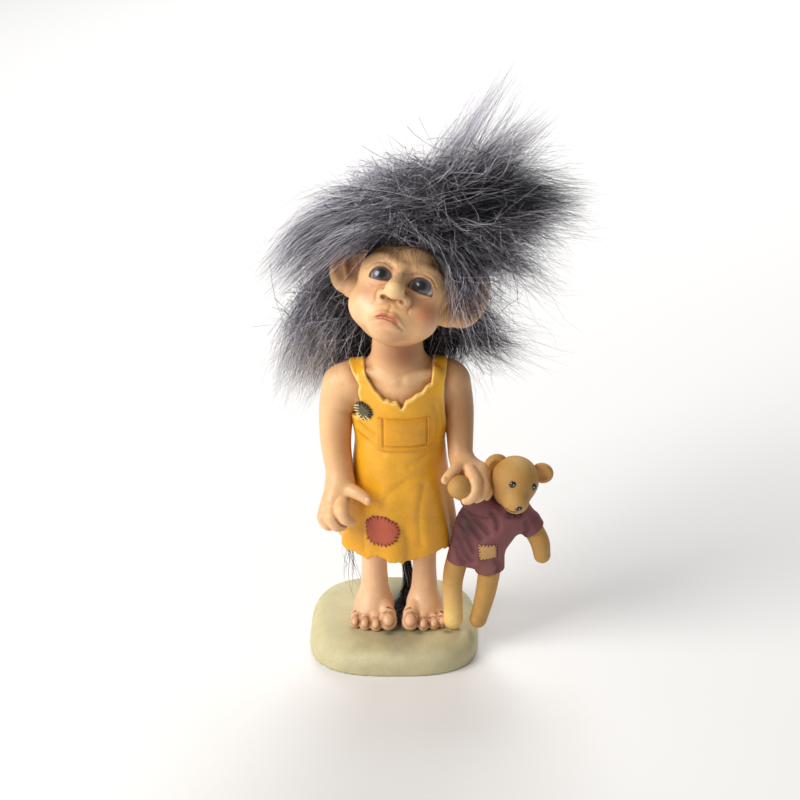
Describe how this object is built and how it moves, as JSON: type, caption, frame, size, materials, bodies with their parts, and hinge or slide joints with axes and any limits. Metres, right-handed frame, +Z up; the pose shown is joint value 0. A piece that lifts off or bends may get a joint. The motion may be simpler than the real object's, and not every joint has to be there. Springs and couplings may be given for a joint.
{
  "type": "elf figurine",
  "caption": "Painted resin elf girl in a patched yellow pinafore, with a wild fur wig and fur tail, standing on an oval plinth and holding a toy bear by the paw; a shelf ornament.",
  "frame": {"origin": "centre of the plinth's underside, on the table", "axes": "+Z up, -Y the way the figure's chest faces, +X to the figure's left, where the bear is"},
  "size_m": [0.0904, 0.0581, 0.1818],
  "materials": {
    "skin": "satin painted resin with a brown wash in the creases",
    "stone": "matt pale green-beige paint",
    "dress": "satin golden-yellow paint",
    "grey_patch": "matt olive-grey paint",
    "red_patch": "matt coral-red paint",
    "eye": "glossy inset eye",
    "fur": "long charcoal and silver synthetic fur",
    "wig_cloth": "woven cloth",
    "steel": "plain",
    "bear": "matt tan paint",
    "plum": "matt plum paint",
    "black": "glossy black paint"
  },
  "bodies": {
    "root": {"right_leg": "skin", "left_leg": "skin", "torso": "skin", "right_arm": "skin", "left_arm": "skin", "head": "skin", "base": "stone", "dress": "dress", "pocket": "dress", "chest_patch": "grey_patch", "skirt_patch": "red_patch", "right_eye": "eye", "left_eye": "eye", "hair": "fur", "tail": "fur", "wig_backing": "wig_cloth", "right_leg_pin": "steel", "left_leg_pin": "steel", "right_arm_pin": "steel", "left_arm_pin": "steel", "bear_foot_pin": "steel", "bear_head": "bear", "bear_right_ear": "bear", "bear_left_ear": "bear", "bear_patch": "bear", "bear_right_arm": "bear", "bear_left_arm": "bear", "bear_right_leg": "bear", "bear_left_leg": "bear", "bear_shirt": "plum", "bear_bow": "plum", "bear_right_eye": "black", "bear_left_eye": "black", "bear_nose": "black"}
  },
  "joints": []
}
